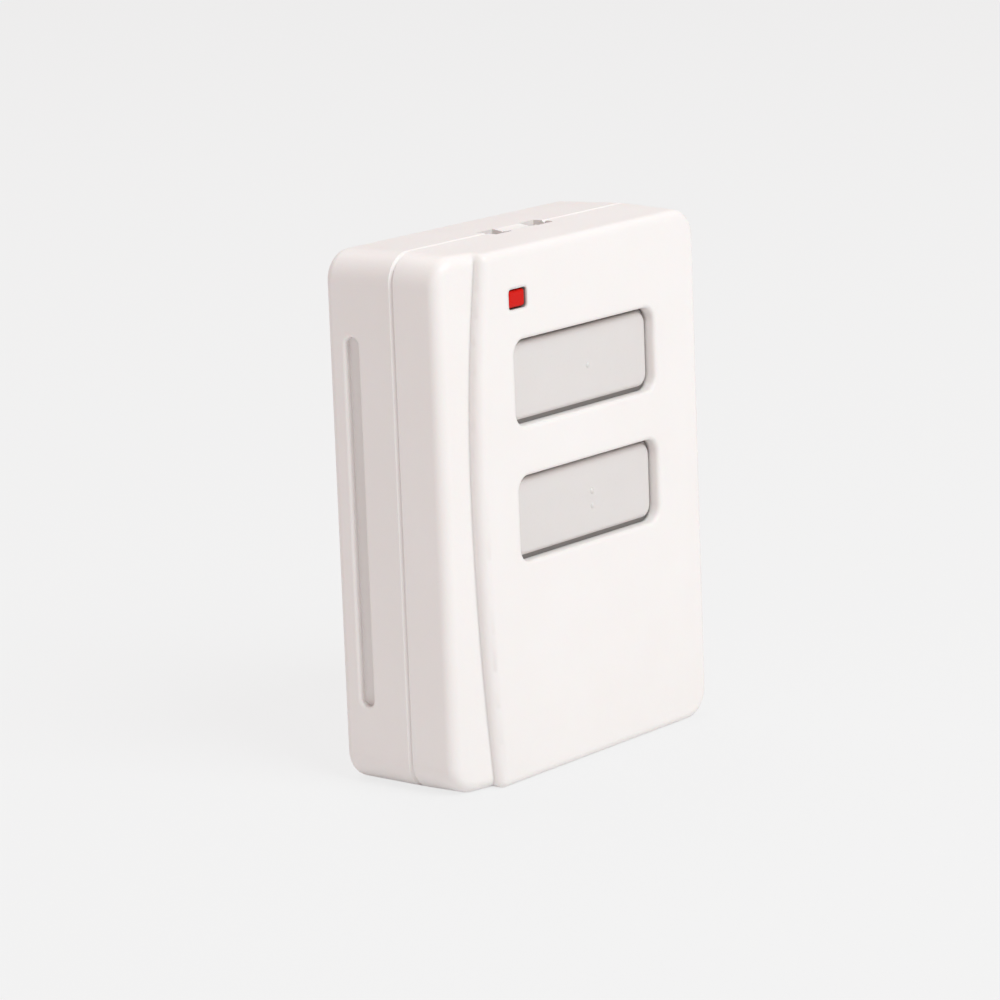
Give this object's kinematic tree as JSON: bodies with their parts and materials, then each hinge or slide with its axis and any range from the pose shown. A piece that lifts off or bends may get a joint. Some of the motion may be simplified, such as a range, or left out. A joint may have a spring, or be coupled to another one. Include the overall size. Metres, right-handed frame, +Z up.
{
  "type": "wireless panic button",
  "caption": "Palm-sized upright remote alarm transmitter: white shell with a bowed face edge, recessed grey keys, a small red light window, side clip grooves and a lanyard eye.",
  "frame": {"origin": "middle of the bounding box at the flat lower face that the object stands on", "axes": "+Z up along the height; -Y out of the face with the keys; +X to the right seen from the front"},
  "size_m": [0.0572, 0.023, 0.0762],
  "materials": {
    "white_plastic": "fine satin moulding",
    "grey_plastic": "fine satin moulding",
    "red_window": "clear red, polished",
    "red_lamp": "tinted epoxy, polished",
    "board_laminate": "green solder mask, semi-gloss",
    "zinc_screw": "bright zinc plating",
    "black_plastic": "satin moulding",
    "steel_sheet": "stamped, bright",
    "tinned_brass": "tinned",
    "cell_sleeve": "printed film sleeve over steel, plain",
    "nickel_spring": "nickel-plated spring strip",
    "nickel_can": "drawn nickel silver can",
    "ceramic_body": "glazed ceramic",
    "capacitor_sleeve": "shrunk sleeve",
    "copper_wire": "bare copper wire",
    "chip_black": "glazed",
    "chip_tan": "fired ceramic"
  },
  "bodies": {
    "housing": {"front_cover": "white_plastic", "rear_cover": "white_plastic", "led_lens": "red_window", "circuit_board": "board_laminate", "board_screws": "zinc_screw", "housing_screws": "zinc_screw", "upper_switch_body": "black_plastic", "lower_switch_body": "black_plastic", "upper_switch_cover": "steel_sheet", "lower_switch_cover": "steel_sheet", "switch_terminals": "tinned_brass", "battery": "cell_sleeve", "battery_positive_contact": "nickel_spring", "battery_negative_contact": "nickel_spring", "microcontroller": "black_plastic", "saw_resonator": "nickel_can", "crystal": "nickel_can", "tuning_capacitor": "ceramic_body", "reservoir_capacitor": "capacitor_sleeve", "driver_transistor": "black_plastic", "loop_antenna": "copper_wire", "chip_resistors": "chip_black", "chip_capacitors": "chip_tan", "status_led": "red_lamp"},
    "upper_key": {"upper_button": "grey_plastic", "upper_switch_plunger": "black_plastic"},
    "lower_key": {"lower_button": "grey_plastic", "lower_switch_plunger": "black_plastic"}
  },
  "joints": [
    {"name": "upper_key_press", "type": "slide", "parent": "housing", "child": "upper_key", "axis": [0, 1, 0], "range_m": [0, 0.0005], "stiffness_N_per_m": 4000},
    {"name": "lower_key_press", "type": "slide", "parent": "housing", "child": "lower_key", "axis": [0, 1, 0], "range_m": [0, 0.0005], "stiffness_N_per_m": 4000}
  ]
}
